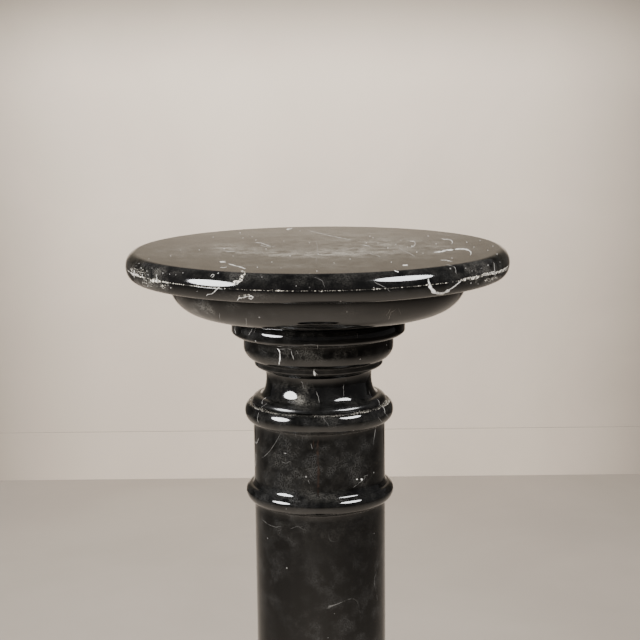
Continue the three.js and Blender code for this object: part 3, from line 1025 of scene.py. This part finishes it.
def floor_paint():
    """Matt and plain."""
    material = bpy.data.materials.new("floor_paint")
    n = Nodes(material)
    n.put(n.shader, "Base Color", drifting(n, FLOOR_PAINT))
    n.shader.inputs["Roughness"].default_value = FLOOR_ROUGHNESS
    return material


def wall_paint():
    """Matt. It gets darker to both sides and upwards, which the polished stones reflect."""
    material = bpy.data.materials.new("wall_paint")
    n = Nodes(material)
    split = n.tree.nodes.new("ShaderNodeSeparateXYZ")
    n.put(split, "Vector", n.place)
    aside = n.times(n.band(n.math("ABSOLUTE", split.outputs["X"]), *WALL_LIT_ACROSS), SIDES_SHARE)
    above = n.times(n.band(split.outputs["Z"], *WALL_LIT_UP), UPPER_SHARE)
    tone = n.mix(aside, drifting(n, WALL_PAINT), SIDES_COLOUR)
    n.put(n.shader, "Base Color", n.mix(above, tone, UPPER_COLOUR))
    n.shader.inputs["Roughness"].default_value = WALL_ROUGHNESS
    return material


def panel(name, corners, material):
    """A flat piece of the studio."""
    mesh = bpy.data.meshes.new(name)
    mesh.from_pydata(corners, [], [(0, 1, 2, 3)])
    piece = bpy.data.objects.new(name, mesh)
    bpy.context.scene.collection.objects.link(piece)
    mesh.materials.append(material)
    return piece


def upright(name, depth, top, material):
    """A panel that stands on the floor, across the whole studio."""
    left, right = -STUDIO_HALF_WIDTH, STUDIO_HALF_WIDTH
    corners = [(left, depth, 0), (right, depth, 0), (right, depth, top), (left, depth, top)]
    return panel(name, corners, material)


def level(name, height, front, back, material):
    """A panel that lies flat, across the whole studio."""
    left, right = -STUDIO_HALF_WIDTH, STUDIO_HALF_WIDTH
    corners = [(left, front, height), (right, front, height), (right, back, height), (left, back, height)]
    return panel(name, corners, material)


def studio():
    """Floor, wall and skirting, which have their own lamps, and the dim light of the room."""
    floor, wall = floor_paint(), wall_paint()
    front = WALL_AT - SKIRTING_DEPTH
    backdrop = [
        level("floor", 0, FLOOR_FRONT, front, floor),
        upright("wall", WALL_AT, WALL_TOP, wall),
        upright("skirting", front, SKIRTING_HEIGHT, wall),
        level("skirting_top", SKIRTING_HEIGHT, front, WALL_AT, floor),
    ]
    world = bpy.data.worlds.new("room")
    world.use_nodes = True
    world.node_tree.nodes["Background"].inputs["Color"].default_value = ROOM_LIGHT
    world.node_tree.nodes["Background"].inputs["Strength"].default_value = 1.0
    bpy.context.scene.world = world
    return backdrop


def area_light(name, pieces, place, target, size, power, spread=180, shape="RECTANGLE"):
    """A lamp that lights only these pieces, as flags and barn doors in a studio would see to."""
    lamp = bpy.data.lights.new(name, "AREA")
    lamp.shape = shape
    lamp.size, lamp.size_y = size
    lamp.energy = power
    lamp.spread = math.radians(spread)
    light = bpy.data.objects.new(name, lamp)
    light.location = place
    light.rotation_euler = (Vector(target) - Vector(place)).to_track_quat("-Z", "Y").to_euler()
    lit = bpy.data.collections.new(name + "_lights")
    for piece in pieces:
        lit.objects.link(piece)
    light.light_linking.receiver_collection = lit
    bpy.context.scene.collection.objects.link(light)


def softbox(name, pieces, azimuth, elevation, size, power):
    """A round box seen from the slab at that azimuth, left or right of the camera."""
    turn, rise = math.radians(azimuth), math.radians(elevation)
    slab = Vector((0, 0, HEIGHT * MM))
    towards = Vector((math.sin(turn) * math.cos(rise), -math.cos(turn) * math.cos(rise), math.sin(rise)))
    area_light(name, pieces, slab + SOFTBOX_DISTANCE * towards, slab, size, power, shape="ELLIPSE")


def lights(pedestal, backdrop):
    """Softboxes for the pedestal, and washes of light for the wall and floor."""
    softbox("softbox_left", pedestal, *SOFTBOX_LEFT)
    softbox("softbox_right", pedestal, *SOFTBOX_RIGHT)
    area_light("wall_wash", backdrop, *WALL_WASH)
    area_light("floor_wash", backdrop, *FLOOR_WASH)
    area_light("room_fill", backdrop, *ROOM_FILL)


def camera():
    """The photograph's camera."""
    data = bpy.data.cameras.new("camera")
    data.lens = LENS
    data.sensor_width = SENSOR
    eye = bpy.data.objects.new("camera", data)
    pitch = Matrix.Rotation(math.radians(90 - CAMERA_PITCH), 4, "X")
    roll = Matrix.Rotation(math.radians(CAMERA_ROLL), 4, "Z")
    eye.matrix_world = Matrix.Translation(CAMERA_AT) @ pitch @ roll
    bpy.context.scene.collection.objects.link(eye)
    bpy.context.scene.camera = eye
    return eye


picture = Picture(camera())
stones = build_stones()
mark_stones(stones, picture)
pedestal = [piece for piece in bpy.context.scene.objects if piece.type == "MESH"]
lights(pedestal, studio())
